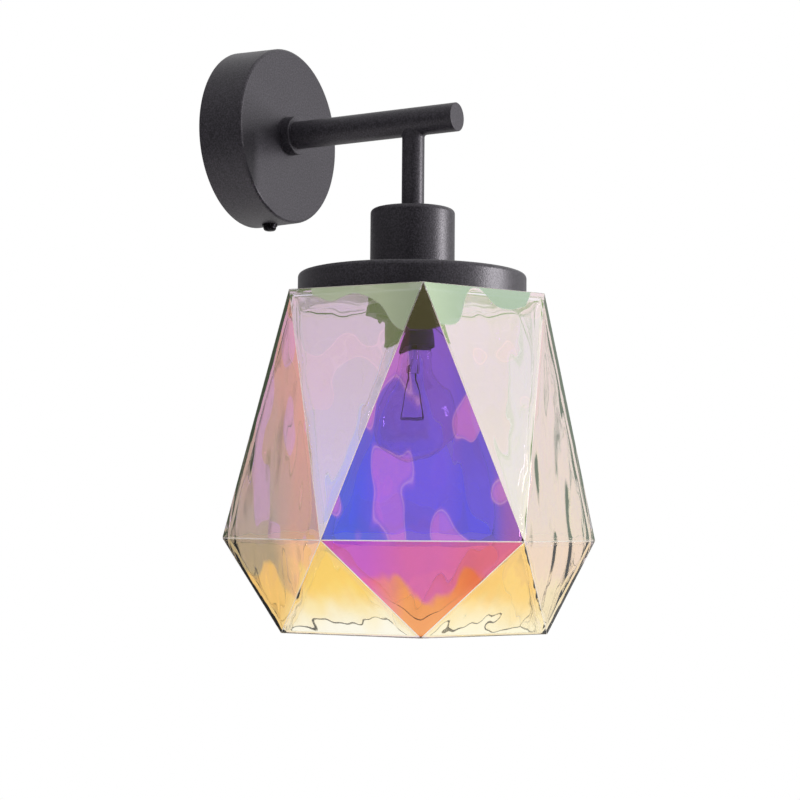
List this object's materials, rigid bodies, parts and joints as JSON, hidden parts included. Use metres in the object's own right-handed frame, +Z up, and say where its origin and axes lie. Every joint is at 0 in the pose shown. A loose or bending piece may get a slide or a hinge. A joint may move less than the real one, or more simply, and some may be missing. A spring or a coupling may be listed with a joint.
{
  "type": "wall sconce",
  "caption": "Wall sconce: round canopy and straight arm with a drop stem, socket cup and flat cap over a faceted tinted glass shade, open below, round a pear-shaped bulb.",
  "frame": {"origin": "centre of the wall face, on the arm's axis", "axes": "+Z up, +Y into the wall, so that the lamp stands out along -Y"},
  "size_m": [0.2444, 0.2408, 0.3965],
  "materials": {
    "black_coat": "fine-textured matte powder coat",
    "black_screw": "black oxide",
    "zinc_steel": "zinc plated",
    "brass": "plain",
    "nylon": "natural nylon",
    "black_plastic": "moulded phenolic",
    "ceramic": "glazed white ceramic",
    "silicone": "translucent silicone",
    "tinted_glass": "iridescent coated glass, polished facets",
    "clear_glass": "clear",
    "black_glass": "black vitrite",
    "lamp_cap": "rolled",
    "solder": "soldered",
    "lamp_wire": "plain",
    "tungsten": "drawn tungsten",
    "brown_pvc": "silicone lead",
    "blue_pvc": "silicone lead",
    "green_yellow_pvc": "striped lead"
  },
  "bodies": {
    "fixture": {"wall_bracket": "zinc_steel", "hook_pin": "zinc_steel", "terminal_block": "nylon", "terminal_tubes": "brass", "terminal_screws": "zinc_steel", "terminal_fixings": "zinc_steel", "earth_lug": "solder", "earth_washer": "zinc_steel", "earth_screw": "brass", "canopy": "black_coat", "canopy_screw": "black_screw", "canopy_screw_washer": "black_screw", "arm_nipple": "zinc_steel", "arm_lock_washer": "zinc_steel", "arm_lock_nut": "zinc_steel", "arm_collar": "black_coat", "arm_insert": "zinc_steel", "arm_tube": "black_coat", "arm_end_disc": "black_coat", "drop_stem": "black_coat", "stem_weld": "black_coat", "stem_insert": "zinc_steel", "stem_nipple": "zinc_steel", "stem_lock_washer": "zinc_steel", "stem_lock_nut": "zinc_steel", "socket_cup": "black_coat", "shade_cap": "black_coat", "lampholder_dome": "black_plastic", "lampholder_sleeve": "black_plastic", "lampholder_puck": "ceramic", "lampholder_clamps": "brass", "lampholder_shell": "brass", "lampholder_contact": "brass", "ring_gasket": "silicone", "shade_ring": "black_plastic", "shade_glass": "tinted_glass", "live_lead": "brown_pvc", "neutral_lead": "blue_pvc", "earth_lead": "green_yellow_pvc"},
    "bulb_tip": {"bulb_insulator": "black_glass", "bulb_contact": "solder"},
    "bulb": {"bulb_glass": "clear_glass", "bulb_cap": "lamp_cap", "bulb_mount": "clear_glass", "bulb_lead_wires": "lamp_wire", "filament": "tungsten"}
  },
  "joints": [
    {"name": "bulb_travel", "type": "slide", "parent": "fixture", "child": "bulb_tip", "axis": [0, 0, -1], "range_m": [0, 0.0109]},
    {"name": "bulb_turn", "type": "hinge", "parent": "bulb_tip", "child": "bulb", "pos_m": [0, -0.131, -0.118], "axis": [0, 0, -1], "range_deg": [0, 1080]}
  ],
  "couplings": [
    {"joint": "bulb_travel", "follows": "bulb_turn", "m_per_rad": 0.00057773}
  ]
}
